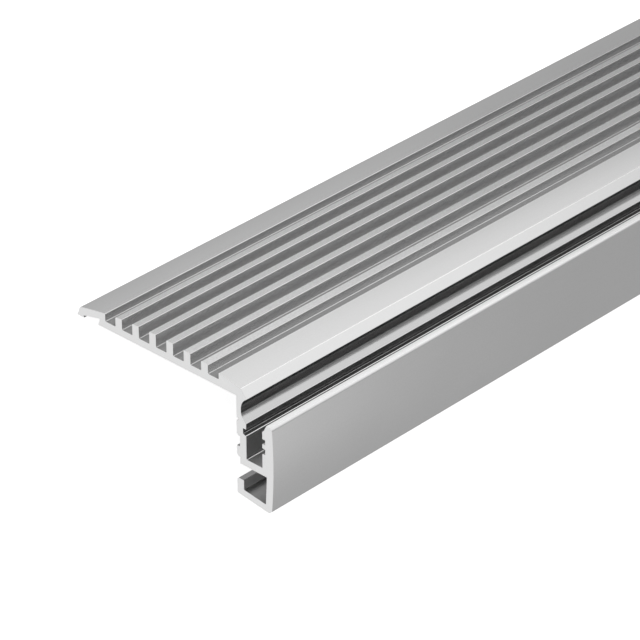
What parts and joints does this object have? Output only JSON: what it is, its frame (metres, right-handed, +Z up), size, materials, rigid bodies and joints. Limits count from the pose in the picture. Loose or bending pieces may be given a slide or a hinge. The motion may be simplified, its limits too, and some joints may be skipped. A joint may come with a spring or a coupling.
{
  "type": "stair profile",
  "caption": "Extruded aluminium stair edge profile: crowned, grooved tread over a front leg that holds an open channel for a light strip and a smaller channel at its foot.",
  "frame": {"origin": "middle of the length, on the floor, below the middle of the section's width", "axes": "+Y along the extrusion, +X from the thin rear wing to the front fascia, +Z up from the floor. The profile lies as it rests unheld, on the foot of the wing and the heel of the leg, with the tread tipped back by 26.7 degrees"},
  "size_m": [0.0682, 1, 0.0261],
  "materials": {
    "anodised_aluminium": "satin silver anodised"
  },
  "bodies": {
    "root": {"stair_profile": "anodised_aluminium"}
  },
  "joints": []
}
